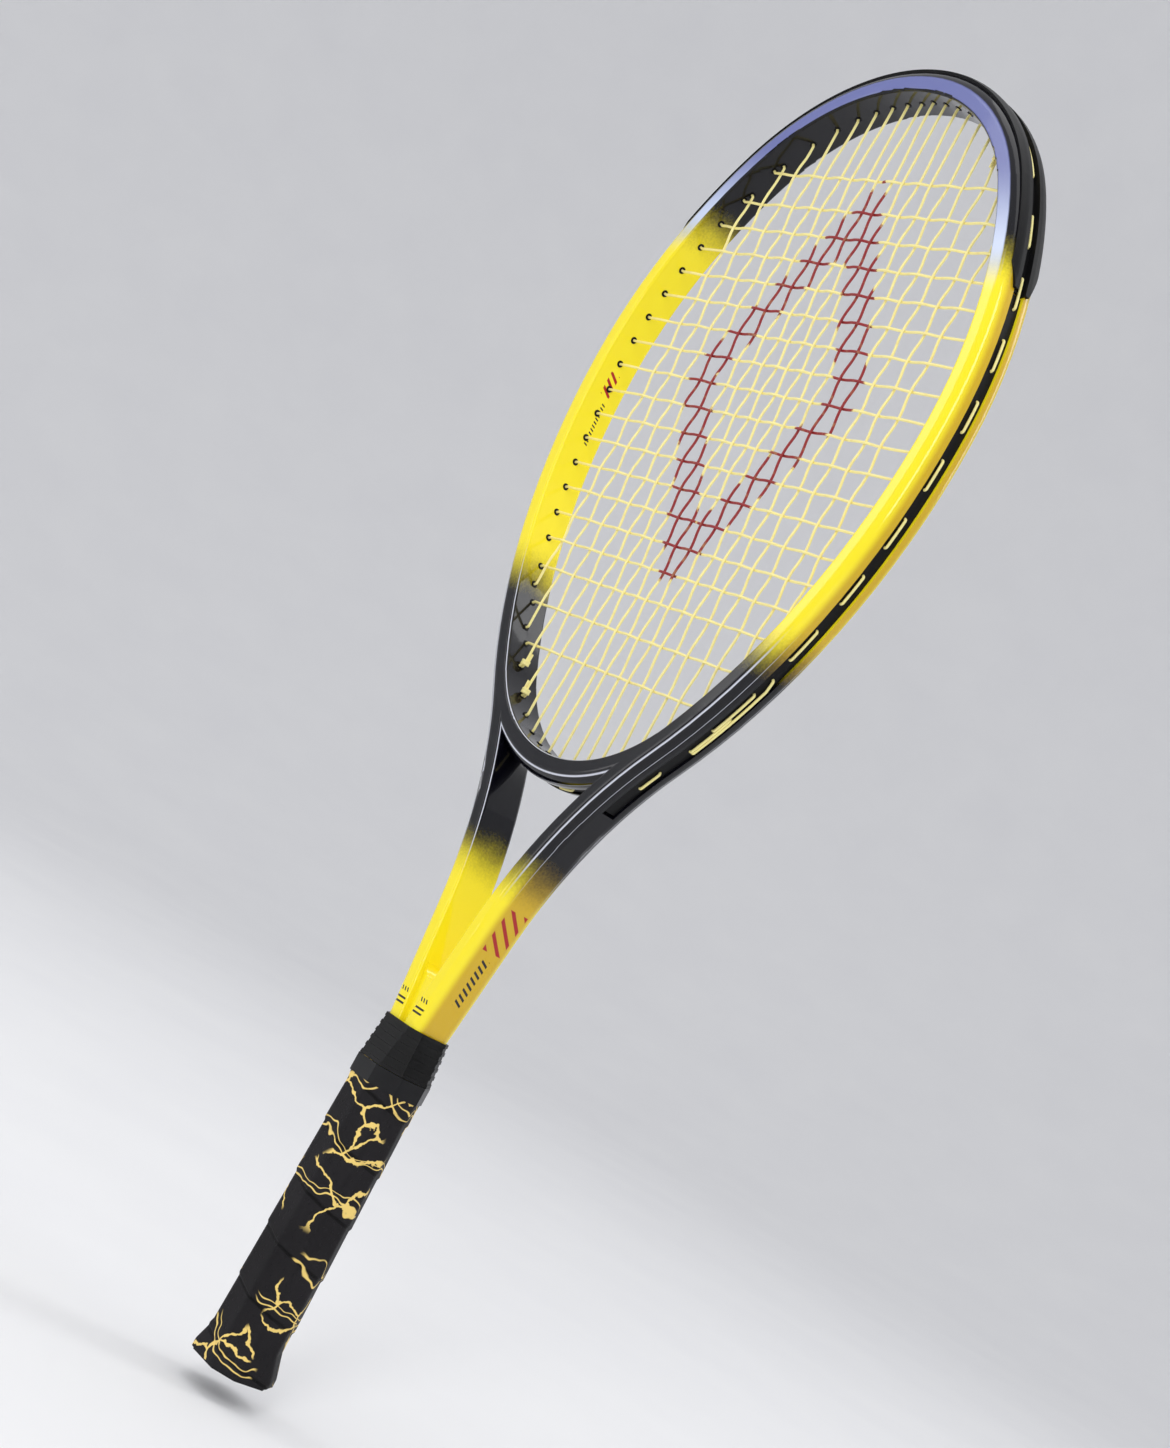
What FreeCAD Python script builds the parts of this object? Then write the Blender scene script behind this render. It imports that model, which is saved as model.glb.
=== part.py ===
import FreeCAD, Part
import math
import os

# Tennis racket, standing on its butt end: +Z runs up the racket, X across the head, Y through the
# string bed, with the front face towards -Y. The origin is the centre of the butt end. Millimetres.

Vector = FreeCAD.Vector

# overall
total_length = 685.8
head_half_width = 123.0        # inside the hoop, at its widest
head_inner_length = 353.8      # inside the hoop, tip to bridge
widest_below_tip = 157.3       # inner tip down to the widest place
tip_radius = 107.0             # inner radius of the hoop at the tip
heel_radius = 86.0             # inner radius of the bridge

# hollow graphite beam
beam_width = 12.0              # in the plane of the hoop
beam_depth = 22.0              # through the string bed
beam_wall = 1.6
inner_corner = 1.5
outer_corner = 6.0
groove_width = 7.2
groove_depth = 2.4
groove_wall_spare = 0.2        # hollow's outer corners stay this much short of meeting

# shafts and throat
leg_gap = 1.2                  # between the two legs in the handle
leg_bottom = 9.0
collar_top = 178.0
shaft_angle = 9.0              # each shaft leans out of the handle by this
handle_bend_radius = 150.0
shaft_bend_radius = 213.0
shoulder_groove_angle = 10.0   # the outer groove runs this far past the hoop
bridge_half_angle = 48.0
bridge_groove_half_angle = 23.7
bridge_port_lean = 0.65        # bridge holes lean this share of square to the bridge
bridge_cavity_half_angle = 20.0
bridge_port_limit = 40.0       # mains nearer the middle than this pass through the bridge alone
wedge_top = 207.0
wedge_bottom = 160.0
wedge_recess = 3.0
wedge_width = 18.0             # before the shafts are cut out of it
wedge_saddle_radius = 6.0

# string bed: 18 mains and 19 crosses
string_diameter = 1.3
weave_clearance = 0.1
main_middle_gap = 9.3
main_gaps = (9.25, 9.6, 9.9, 10.5, 11.2, 12.1, 13.1, 12.2)   # outwards from the middle pair
cross_gap = 13.8
even_crosses = 14              # crosses at the even gap, in the middle of the bed
lowest_even_cross = 100.5      # above the inside of the bridge
upper_cross_gaps = (14.2, 17.2)
lower_cross_gaps = (15.0, 18.6, 20.4)
port_standoff = 1.6            # strings turn into their grommets this far inside the wall
port_straight = 3.0
string_bend = 1.0
seat_clearance = 0.08
run_joint_depth = 0.6          # runs and loops join inside the grommets, this far below the groove

# grommets and bumper guard
strip_thickness = 0.9
strip_fit = 0.05
strip_side_fit = 0.1
barrel_radius = 1.7
tie_barrel_radius = 1.35        # the slimmer second barrel where a tail is tied off
barrel_fit = 0.1
barrel_proud = 0.25
bore_fit = 0.15                # a grommet's bore over the string
guard_thickness = 1.5
guard_channel = 5.2
guard_wing_angle = 34.0
guard_reach = 107.8            # the guard's tapered ends reach this far below the tip
guard_taper = 26.0
strip_end_gap = 0.3            # degrees of arc left free at each end of a strip

# tie-off knots
knot_turns = 2
knot_turn_gap = 0.02           # between one turn of the knot and the next
knot_start = 0.95              # first turn, from where the string leaves its grommet
knot_fit = 0.03                # round the string it is tied on
knot_skin = 0.1                # of knot outside the tail drawn up in it
knot_swell = 0.15              # how far each turn bulges
knot_bend_spare = 0.15         # a tail's bend at its knot, over the string's own radius
knot_tag = 4.0                 # cut end left beyond the knot
tail_lift = 0.1                # tails lie this much looser than the loops
tail_shift = 6.0               # length over which a tail moves sideways into its lane
tail_gap = 0.1                 # between a tail and the loops beside it
tail_sway_bend = 5.0

# handle
pallet_side_wall = 3.5         # from a leg of the tube to the handle's side
pallet_face_wall = 3.7
pallet_bevel = 8.6
pallet_bottom = 12.0
pallet_top = 155.0
pallet_fit = 0.1
spigot_step = 1.6
grip_thickness = 1.8
grip_top = 156.0
grip_bottom = 1.2
grip_seat = 0.05
butt_side_flare = 2.4          # how far the butt stands out past the handle
butt_face_flare = 2.3
butt_rim_height = 5.0
butt_flare_top = 17.0
butt_cap_height = 27.0
butt_floor = 3.0
butt_fit = 0.1
door_width = 21.0
door_thickness = 15.0
door_plate = 1.6
door_fit = 0.2
door_recess = 0.4
door_leg_height = 5.6
door_leg_width = 6.0
door_leg_thickness = 1.6
door_ledge = 1.6               # the floor's ledge that stops the door going in
staple_wire = 0.8
staple_span = 8.0
staple_leg = 3.4
staple_height = 22.0
plug_length = 14.0
plug_fit = 0.1
tape_height = 9.0
tape_thickness = 0.35
collar_bottom = 156.2
collar_side_step = 1.6         # the collar's foot over the pallets
collar_face_step = 1.5
collar_top_spread = 3.3        # its top over the legs, where the shafts lean out of the handle
collar_top_wall = 1.6
collar_bevel = 5.4
collar_ribs = 5
collar_rib_height = 1.8
collar_rib_depth = 0.4

# worked out from the sizes above
string_radius = string_diameter / 2
half_depth = beam_depth / 2
half_groove = groove_width / 2
groove_floor = beam_width - groove_depth
outer_round = min(outer_corner, half_depth - half_groove)   # the corner, where the groove leaves room
inner_top = total_length - guard_thickness - beam_width
inner_bottom = inner_top - head_inner_length
widest_z = inner_top - widest_below_tip
strip_top = groove_floor + strip_fit + strip_thickness
guard_end = total_length - guard_reach
loop_level = strip_top + string_radius + seat_clearance
run_end_level = groove_floor - run_joint_depth
leg_x = (beam_width + leg_gap) / 2
legs_half_width = leg_gap / 2 + beam_width
pallet_width = 2 * (legs_half_width + pallet_side_wall)
pallet_thickness = beam_depth + 2 * pallet_face_wall
butt_width = pallet_width + 2 * butt_side_flare
butt_thickness = pallet_thickness + 2 * butt_face_flare
collar_bottom_width = pallet_width + 2 * collar_side_step
collar_bottom_thickness = pallet_thickness + 2 * collar_face_step
collar_top_width = 2 * (legs_half_width + collar_top_spread)
collar_top_thickness = beam_depth + 2 * collar_top_wall
string_lane = string_radius + weave_clearance / 2
tail_lane = string_lane + string_diameter + tail_gap
barrel_bore = string_radius + bore_fit
knot_pitch = string_diameter + knot_turn_gap
main_count = 2 * (len(main_gaps) + 1)
strip_half_width = half_groove - strip_side_fit
knot_radius = string_diameter + tail_gap
knot_bend = string_radius + knot_bend_spare


def side_radius(corner_radius, corner_z):
    """Radius of the side arc that is upright at the widest place and tangent to an end arc."""
    rise = corner_z - widest_z
    over = head_half_width ** 2 + rise ** 2 - corner_radius ** 2
    return over / (2 * (head_half_width - corner_radius))


tip_centre = Vector(0, 0, inner_top - tip_radius)
heel_centre = Vector(0, 0, inner_bottom + heel_radius)
upper_radius = side_radius(tip_radius, tip_centre.z)
lower_radius = side_radius(heel_radius, heel_centre.z)
upper_centre = Vector(head_half_width - upper_radius, 0, widest_z)
lower_centre = Vector(head_half_width - lower_radius, 0, widest_z)
shoulder_angle = math.degrees(math.atan2(tip_centre.z - widest_z, -upper_centre.x))


# path of the hairpin tube

def direction(angle):
    """Unit vector in the plane of the hoop, turned from +X towards +Z."""
    turned = math.radians(angle)
    return Vector(math.cos(turned), 0, math.sin(turned))


def shaft_line():
    """The straight part of the right shaft: its lower end, its run upwards and its outer side."""
    bend_out = handle_bend_radius * (1 - math.cos(math.radians(shaft_angle)))
    start = Vector(leg_x + bend_out, 0, collar_top)
    return start, direction(90 - shaft_angle), direction(-shaft_angle)


def shaft_bend():
    """The shaft's bend: its centre, where it leaves the straight, and its angle at the hoop."""
    start, along, outward = shaft_line()
    reach = lower_radius + beam_width / 2 + shaft_bend_radius
    offset = start + outward * shaft_bend_radius - lower_centre
    lean = offset.dot(along)
    slide = -lean - math.sqrt(lean ** 2 - offset.dot(offset) + reach ** 2)
    tangent = start + along * slide
    centre = tangent + outward * shaft_bend_radius
    towards = centre - lower_centre
    return centre, tangent, math.degrees(math.atan2(-towards.z, towards.x))


shaft_centre, shaft_tangent, leave_angle = shaft_bend()


def hoop_arc(centre, radius, start, finish):
    """A stretch of beam bent round a centre inside the hoop; radius is that of its inner wall."""
    outward = direction(start)
    return ("turn", centre + outward * radius, outward, centre, start - finish)


def hoop_side():
    """The right side of the hoop, from the tip down to where the shaft leaves it."""
    return [
        hoop_arc(tip_centre, tip_radius, 90, shoulder_angle),
        hoop_arc(upper_centre, upper_radius, shoulder_angle, 0),
        hoop_arc(lower_centre, lower_radius, 0, -leave_angle),
    ]


def shoulder(first, last):
    """A stretch of the shaft's bend, which curves the other way, in degrees below the hoop."""
    outward = direction(first - leave_angle)
    base = shaft_centre - outward * (shaft_bend_radius + beam_width / 2)
    return ("turn", base, outward, shaft_centre, first - last)


def shaft_side():
    """The right shaft, from the hoop down to the bottom of its leg in the handle."""
    start, along, outward = shaft_line()
    half = outward * (beam_width / 2)
    leg_start = start.z - handle_bend_radius * math.sin(math.radians(shaft_angle))
    leg_base = Vector(leg_x - beam_width / 2, 0, leg_start)
    drop = Vector(0, 0, leg_bottom - leg_start)
    bend_centre = start + outward * handle_bend_radius
    return [
        shoulder(shoulder_groove_angle, leave_angle - shaft_angle),
        ("run", shaft_tangent - half, outward, start - shaft_tangent, 0),
        ("turn", start - half, outward, bend_centre, -shaft_angle),
        ("run", leg_base, Vector(1, 0, 0), drop, 0),
    ]


def grooved_side():
    """The right side of everything that carries the outer string groove, bridge left out."""
    return hoop_side() + [shoulder(0, shoulder_groove_angle)]


def bridge_arc(half_angle):
    return [hoop_arc(heel_centre, heel_radius, -90 + half_angle, -90 - half_angle)]


def sweep(section, segments):
    """One solid for each segment: the section carried round its arc or along its straight."""
    solids = []
    for kind, base, outward, rule, angle in segments:
        face = section_face(section, base, outward)
        if kind == "turn":
            solids.append(face.revolve(rule, Vector(0, 1, 0), angle))
        else:
            solids.append(face.extrude(rule))
    return solids


def mirrored(shape):
    return shape.mirror(Vector(0, 0, 0), Vector(1, 0, 0))


def both_sides(solids):
    return solids + [mirrored(solid) for solid in solids]


def joined(solids):
    if len(solids) == 1:
        return solids[0]
    return solids[0].fuse(solids[1:]).removeSplitter()


# sections, as corners and arc middles in (outward, through the bed) coordinates

def section_face(section, base, outward):
    """A flat face from a section: each entry is a corner, or a corner and the arc to the next."""
    def place(point):
        return base + outward * point[0] + Vector(0, point[1], 0)

    edges = []
    for index, entry in enumerate(section):
        here = place(entry[0])
        there = place(section[(index + 1) % len(section)][0])
        if len(entry) == 2:
            edges.append(Part.Arc(here, place(entry[1]), there).toShape())
        else:
            edges.append(Part.LineSegment(here, there).toShape())
    return Part.Face(Part.Wire(edges))


def on_circle(centre, radius, angle):
    turned = math.radians(angle)
    return (centre[0] + radius * math.cos(turned), centre[1] + radius * math.sin(turned))


def rounded_box(low, high, half, inner, outer):
    """A box section from low to high outwards, with its own inner and outer corner radii."""
    def corner(u, v, radius, start):
        centre = (u, v)
        return [(on_circle(centre, radius, start), on_circle(centre, radius, start + 45)),
                (on_circle(centre, radius, start + 90),)]

    return (corner(high - outer, half - outer, outer, 0) + corner(low + inner, half - inner, inner, 90)
            + corner(low + inner, inner - half, inner, 180) + corner(high - outer, outer - half, outer, 270))


def beam_section():
    return rounded_box(0, beam_width, half_depth, inner_corner, outer_round)


def cavity_section():
    """The hollow of the beam, which stays clear of the outer groove."""
    corner = (groove_floor - 2 * beam_wall) / 2 - groove_wall_spare
    return rounded_box(beam_wall, groove_floor - beam_wall, half_depth - beam_wall, inner_corner, corner)


def shaft_cavity_section():
    """The hollow below the groove, where the outer wall is as thick as the others."""
    corner = outer_round - beam_wall
    return rounded_box(beam_wall, beam_width - beam_wall, half_depth - beam_wall, inner_corner, corner)


def groove_section():
    over = beam_width + 1
    return [((groove_floor, -half_groove),), ((over, -half_groove),),
            ((over, half_groove),), ((groove_floor, half_groove),)]


def strip_section():
    low = groove_floor + strip_fit
    half = strip_half_width
    return [((low, -half),), ((strip_top, -half),), ((strip_top, half),), ((low, half),)]


def guard_cheek(sign):
    """One side of the bumper guard: a channel wall and the wing over the beam's outer corner."""
    corner = (beam_width - outer_round, half_depth - outer_round)
    near = outer_round + strip_fit
    far = outer_round + guard_thickness

    def at(radius, angle):
        point = on_circle(corner, radius, angle)
        return (point[0], sign * point[1])

    low = groove_floor + strip_fit
    top = beam_width + guard_thickness
    wing = guard_wing_angle
    return [((low, sign * guard_channel / 2),), ((low, sign * strip_half_width),),
            ((beam_width + strip_fit, sign * strip_half_width),), (at(near, 0), at(near, wing / 2)),
            (at(near, wing),), (at(far, wing), at(far, wing / 2)),
            (at(far, 0),), ((top, sign * guard_channel / 2),)]


# string bed layout and the ports where strings enter the beam; near them the mains and the
# crosses keep to lanes on opposite sides of the bed, so that they pass each other

def main_places():
    """Distance of each main to the right of the middle, innermost first."""
    places = [main_middle_gap / 2]
    for gap in main_gaps:
        places.append(places[-1] + gap)
    return places


def cross_heights():
    """Height of each cross, lowest first."""
    lowest_even = inner_bottom + lowest_even_cross
    heights = [lowest_even + cross_gap * index for index in range(even_crosses)]
    for gap in upper_cross_gaps:
        heights.append(heights[-1] + gap)
    for gap in lower_cross_gaps:
        heights.insert(0, heights[0] - gap)
    return heights


def port(mouth, outward, centre, level, slope, lane):
    """Where a string turns into its grommet: its place, its way out and its height over the wall."""
    return {"mouth": mouth + Vector(0, lane, 0), "out": outward, "centre": centre + Vector(0, lane, 0),
            "level": level, "slope": slope, "barrel": barrel_radius}


def at_level(place, level):
    """The point on a port's axis at a height above the beam's inner wall."""
    return place["mouth"] + place["out"] * ((level - place["level"]) / place["slope"])


def square_port(centre, radius, mouth, lane):
    """A port square to a hoop arc of the given inner radius."""
    outward = (mouth - centre).normalize()
    return port(mouth, outward, centre, (mouth - centre).Length - radius, 1, lane)


def bridge_port(mouth, lane):
    """A port through the bridge, which leans less than square to it."""
    lean = math.degrees(math.asin(mouth.x / (heel_radius - port_standoff)))
    slope = math.cos(math.radians(lean * (1 - bridge_port_lean)))
    return port(mouth, direction(lean * bridge_port_lean - 90), heel_centre, -port_standoff, slope, lane)


def shaft_port(mouth, lane):
    """A port through the bridge's end and the shaft beyond it, square to the shaft's outer groove."""
    outward = (shaft_centre - mouth).normalize()
    level = shaft_bend_radius + beam_width / 2 - (shaft_centre - mouth).Length
    return port(mouth, outward, shaft_centre, level, 1, lane)


def inset_arc(centre, radius, x, sign):
    """Where the line at x meets an arc of the hoop, inset by the ports' standoff."""
    return Vector(x, 0, centre.z + sign * math.sqrt((radius - port_standoff) ** 2 - (x - centre.x) ** 2))


def top_port(x):
    if x < (tip_radius - port_standoff) * math.cos(math.radians(shoulder_angle)):
        return square_port(tip_centre, tip_radius, inset_arc(tip_centre, tip_radius, x, 1), -string_lane)
    return square_port(upper_centre, upper_radius, inset_arc(upper_centre, upper_radius, x, 1), -string_lane)


def bottom_port(x):
    lane = string_lane
    if x > (lower_radius - port_standoff) * math.cos(math.radians(leave_angle)) + lower_centre.x:
        mouth = inset_arc(lower_centre, lower_radius, x, -1)
        return square_port(lower_centre, lower_radius, mouth, lane)
    mouth = inset_arc(heel_centre, heel_radius, x, -1)
    return bridge_port(mouth, lane) if x < bridge_port_limit else shaft_port(mouth, lane)


def cross_port(z):
    """The port of the cross at height z, on the right side of the hoop."""
    if z > tip_centre.z + (tip_radius - port_standoff) * math.sin(math.radians(shoulder_angle)):
        centre, radius = tip_centre, tip_radius
    elif z > widest_z:
        centre, radius = upper_centre, upper_radius
    else:
        centre, radius = lower_centre, lower_radius
    reach = math.sqrt((radius - port_standoff) ** 2 - (z - centre.z) ** 2)
    lane = string_lane if z > widest_z else -string_lane
    return square_port(centre, radius, Vector(centre.x + reach, 0, z), lane)


def other_side(place):
    """The same port on the left side, as if the racket were turned half round its long axis."""
    turned = dict(place)
    for key in ("mouth", "out", "centre"):
        turned[key] = Vector(-place[key].x, -place[key].y, place[key].z)
    return turned


def tie_port(host, lane):
    """The second, slimmer barrel beside a main's own, where a tail comes in to be tied off."""
    aside = Vector(0, lane - host["mouth"].y, 0)
    beside = dict(host)
    beside["mouth"] = host["mouth"] + aside
    beside["centre"] = host["centre"] + aside
    beside["barrel"] = tie_barrel_radius
    return beside


def all_in_order(right):
    return [other_side(place) for place in reversed(right)] + right


main_tops = all_in_order([top_port(x) for x in main_places()])
main_bottoms = all_in_order([bottom_port(x) for x in main_places()])
cross_rights = [cross_port(z) for z in cross_heights()]
cross_lefts = [other_side(place) for place in cross_rights]

# tie-offs: the outer mains on the third ones in, the crosses on a third and a fourth
tie_main_right = tie_port(main_bottoms[-3], tail_lane)
tie_main_left = other_side(tie_main_right)
tie_cross_top = tie_port(main_tops[-3], string_lane)
tie_cross_bottom = tie_port(main_bottoms[3], string_lane)
tie_ports = [tie_main_right, tie_main_left, tie_cross_top, tie_cross_bottom]
all_ports = main_tops + main_bottoms + cross_rights + cross_lefts + tie_ports


def rod(start, finish, radius):
    return Part.makeCylinder(radius, (finish - start).Length, start, finish - start)


# cords: straight runs joined by tangent arcs

def rounded_path(points, bends):
    """Edges through the points, with an arc of the given radius at each inner point."""
    edges = []
    start = points[0]
    for index in range(1, len(points) - 1):
        corner = points[index]
        back = (points[index - 1] - corner).normalize()
        ahead = (points[index + 1] - corner).normalize()
        turn = math.pi - back.getAngle(ahead)
        reach = bends[index - 1] * math.tan(turn / 2)
        if turn < 0.01:
            continue
        first = corner + back * reach
        last = corner + ahead * reach
        inward = (back + ahead).normalize()
        middle = corner + inward * (bends[index - 1] / math.cos(turn / 2) - bends[index - 1])
        edges.append(Part.LineSegment(start, first).toShape())
        edges.append(Part.Arc(first, middle, last).toShape())
        start = last
    edges.append(Part.LineSegment(start, points[-1]).toShape())
    return edges


def cord(edges):
    """A round string along tangent edges, in order from one end to the other."""
    wire = Part.Wire(edges)
    first = wire.OrderedEdges[0]
    start = wire.OrderedVertexes[0].Point
    forwards = (first.valueAt(first.FirstParameter) - start).Length < string_radius / 100
    along = first.tangentAt(first.FirstParameter if forwards else first.LastParameter)
    ring = Part.Wire(Part.makeCircle(string_radius, start, along))
    return wire.makePipeShell([ring], True, False)


def wave(start, finish):
    """Two equal arcs that carry a string from one side of the bed to the other."""
    span = finish - start
    drop = abs(span.y)
    if drop < string_radius / 10:
        return [Part.LineSegment(start, finish).toShape()]
    side = Vector(0, math.copysign(1, span.y), 0)
    along = Vector(span.x, 0, span.z)
    length = along.Length
    along.normalize()
    radius = (length ** 2 + drop ** 2) / (4 * drop)
    half_turn = math.asin(length / (2 * radius)) / 2
    ahead = along * (radius * math.sin(half_turn))
    aside = side * (radius * (1 - math.cos(half_turn)))
    middle = start + span * 0.5
    return [Part.Arc(start, start + ahead + aside, middle).toShape(),
            Part.Arc(middle, finish - ahead - aside, finish).toShape()]


def bed_run(first, last, crossings, first_side):
    """One run of string inside the hoop, from grommet to grommet, over and under the others."""
    along = (last["mouth"] - first["mouth"]).normalize()
    here = first["mouth"] + along * port_straight
    leave = last["mouth"] - along * port_straight
    edges = rounded_path([at_level(first, run_end_level), first["mouth"], here], [string_bend])
    sign = first_side
    for crossing in crossings:
        there = Vector(crossing.x, sign * string_lane, crossing.z)
        edges += wave(here, there)
        here = there
        sign = -sign
    edges += wave(here, leave)
    return edges + rounded_path([leave, last["mouth"], at_level(last, run_end_level)], [string_bend])


def meets(main, cross):
    """True where this main and this cross meet inside the hoop, clear of their grommets."""
    margin = port_straight + string_diameter
    x = main_tops[main]["mouth"].x
    z = cross_rights[cross]["mouth"].z
    tall = main_bottoms[main]["mouth"].z + margin < z < main_tops[main]["mouth"].z - margin
    return tall and abs(x) < cross_rights[cross]["mouth"].x - margin


def crossing(main, cross):
    return Vector(main_tops[main]["mouth"].x, 0, cross_rights[cross]["mouth"].z)


def main_run(index):
    """A main from its bottom port to its top port; it passes in front where the indices add up even."""
    met = [cross for cross in range(len(cross_rights)) if meets(index, cross)]
    points = [crossing(index, cross) for cross in met]
    return bed_run(main_bottoms[index], main_tops[index], points, 1 if (index + met[0]) % 2 else -1)


def cross_run(index):
    """A cross from its left port to its right port."""
    met = [main for main in range(main_count) if meets(main, index)]
    points = [crossing(main, index) for main in met]
    return bed_run(cross_lefts[index], cross_rights[index], points, -1 if (index + met[0]) % 2 else 1)


def groove_normal(place, level):
    """The way out of the groove at a port."""
    away = (at_level(place, level) - place["centre"]).normalize()
    return away if away.dot(place["out"]) > 0 else away * -1


def groove_middle(start, finish, start_normal, finish_normal, end_bend):
    """The extra point and its bend that keep a loop on a groove that bulges outwards."""
    chord = finish - start
    spread = start_normal.getAngle(finish_normal) / 2
    if (finish_normal - start_normal).dot(chord) <= 0 or spread < math.radians(0.5):
        return [], []
    outward = (start_normal + finish_normal).normalize()
    half = chord.Length / 2
    bend = (half / math.cos(spread) - 2 * end_bend) / math.tan(spread)
    return [start + chord * 0.5 + outward * (half * math.tan(spread))], [bend]


def loop_run(first, last):
    """The string outside the beam, between two neighbouring grommets."""
    start, finish = at_level(first, loop_level), at_level(last, loop_level)
    normals = (groove_normal(first, loop_level), groove_normal(last, loop_level))
    points, bends = groove_middle(start, finish, normals[0], normals[1], string_bend)
    route = [at_level(first, run_end_level), start] + points + [finish, at_level(last, run_end_level)]
    return rounded_path(route, [string_bend] + bends + [string_bend])


def tail_run(first, tie, host, host_along):
    """The tail: along the groove beside the loops, and in through the tie-off barrel to its knot."""
    level = loop_level + tail_lift
    start, finish = at_level(first, level), at_level(tie, level)
    route = [at_level(first, run_end_level), start]
    bends = [string_bend]
    normal = groove_normal(first, level)
    end_bend = string_bend
    if abs(finish.y - start.y) > string_radius:
        chord = finish - start
        centre = Vector(first["centre"].x, 0, first["centre"].z)
        flat = Vector(start.x, 0, start.z) + Vector(chord.x, 0, chord.z).normalize() * tail_shift
        normal = (flat - centre).normalize()
        radius = Vector(start.x - centre.x, 0, start.z - centre.z).Length
        start = centre + normal * radius + Vector(0, finish.y, 0)
        route.append(start)
        bends.append(tail_sway_bend)
    points, more = groove_middle(start, finish, normal, groove_normal(tie, level), end_bend)
    knot_middle = host["mouth"] + host_along * (knot_start + knot_pitch / 2)
    aside = Vector(0, math.copysign(knot_radius, tie["mouth"].y - host["mouth"].y), 0)
    inner = tie["mouth"] + tie["out"] * (port_standoff / 2)
    route += points + [finish, inner, knot_middle + aside]
    return rounded_path(route, bends + more + [string_bend, knot_bend])


def knot(host, host_along, tie):
    """A knot drawn tight round the host string just inside the hoop, and its cut end."""
    inner = string_radius + knot_fit
    outer = knot_radius + string_radius + knot_skin
    radial = Vector(0, math.copysign(1, host["mouth"].y - tie["mouth"].y), 0)
    foot = host["mouth"] + host_along * (knot_start - knot_pitch / 2)

    def place(radius, turns):
        return foot + radial * radius + host_along * (knot_pitch * turns)

    edges = [Part.LineSegment(place(outer, knot_turns), place(inner, knot_turns)).toShape(),
             Part.LineSegment(place(inner, knot_turns), place(inner, 0)).toShape(),
             Part.LineSegment(place(inner, 0), place(outer, 0)).toShape()]
    for turn in range(knot_turns):
        swell = place(outer + knot_swell, turn + 1 / 2)
        edges.append(Part.Arc(place(outer, turn), swell, place(outer, turn + 1)).toShape())
    body = Part.Face(Part.Wire(edges)).revolve(foot, host_along, 360)
    tag_end = place(knot_radius, knot_turns) + host_along * knot_tag
    return [body, rod(place(knot_radius, 1), tag_end, string_radius)]


def strung(runs, even_loops, odd_loops):
    """Runs taken alternately forwards and backwards, with a loop from each to the next."""
    edges = []
    for index, run in enumerate(runs):
        edges += run if index % 2 == 0 else run[::-1]
        if index < len(runs) - 1:
            loops = odd_loops if index % 2 else even_loops
            edges += loop_run(loops[index], loops[index + 1])
    return edges


def main_string():
    """The mains: one string, out of one tie-off, up and down the bed, and into the other."""
    up = Vector(0, 0, 1)
    left = tail_run(main_bottoms[0], tie_main_left, main_bottoms[2], up)
    right = tail_run(main_bottoms[-1], tie_main_right, main_bottoms[-3], up)
    runs = [main_run(index) for index in range(main_count)]
    string = cord(left[::-1] + strung(runs, main_tops, main_bottoms) + right)
    return string.fuse(knot(main_bottoms[2], up, tie_main_left) + knot(main_bottoms[-3], up, tie_main_right))


def cross_string():
    """The crosses: one string from its tie-off by the throat, side to side up to the other."""
    up = Vector(0, 0, 1)
    bottom = tail_run(cross_lefts[0], tie_cross_bottom, main_bottoms[3], up)
    top = tail_run(cross_rights[-1], tie_cross_top, main_tops[-3], up * -1)
    runs = [cross_run(index) for index in range(len(cross_rights))]
    string = cord(bottom[::-1] + strung(runs, cross_rights, cross_lefts) + top)
    knots = knot(main_bottoms[3], up, tie_cross_bottom) + knot(main_tops[-3], up * -1, tie_cross_top)
    return string.fuse(knots)


# the moulded frame

def string_holes():
    """The drilled holes for the grommet barrels, through everything in their way."""
    holes = []
    for place in all_ports:
        radius = place["barrel"] + barrel_fit
        holes.append(rod(place["mouth"], at_level(place, beam_width + 1), radius))
    return holes


def hairpin_envelope():
    return joined(both_sides(sweep(beam_section(), grooved_side() + shaft_side())))


def hairpin_tube(envelope, holes):
    """One hollow tube bent round the hoop and down both shafts, with the string groove outside."""
    hollow = sweep(cavity_section(), grooved_side()) + sweep(shaft_cavity_section(), shaft_side())
    groove = sweep(groove_section(), grooved_side())
    return envelope.cut([joined(both_sides(hollow)), joined(both_sides(groove))] + holes)


def throat_bridge(envelope, holes):
    """The bar that closes the hoop over the throat, with its own groove underneath."""
    ring = joined(sweep(beam_section(), bridge_arc(bridge_half_angle)))
    hollow = sweep(cavity_section(), bridge_arc(bridge_cavity_half_angle))
    groove = sweep(groove_section(), bridge_arc(bridge_groove_half_angle))
    return ring.cut([envelope] + hollow + groove + holes)


def throat_wedge(envelope):
    """The infill between the shafts just above the handle, with a round saddle on top."""
    thick = beam_depth - 2 * wedge_recess
    block = centred_box(wedge_width, thick, wedge_bottom, wedge_top)
    saddle = Part.makeCylinder(wedge_saddle_radius, thick, Vector(0, -thick / 2, wedge_top), Vector(0, 1, 0))
    return block.cut([envelope, saddle])


# grommets and bumper guard

def barrels(places):
    middle = groove_floor + strip_fit + strip_thickness / 2
    standoff = port_standoff - barrel_proud
    return [rod(place["mouth"] + place["out"] * standoff, at_level(place, middle), place["barrel"])
            for place in places]


def bores(places):
    return [rod(place["mouth"], at_level(place, beam_width), barrel_bore) for place in places]


def grommeted(strip, places):
    return joined([strip] + barrels(places)).cut(bores(places))


def guard_arc_end():
    return math.degrees(math.asin((guard_end - widest_z) / upper_radius))


def in_guard(place):
    spot = Vector(abs(place["mouth"].x), 0, place["mouth"].z) - Vector(upper_centre.x, 0, widest_z)
    return spot.z > 0 and math.degrees(math.atan2(spot.z, spot.x)) > guard_arc_end()


def in_bridge(place):
    return place["slope"] < 1


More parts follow.
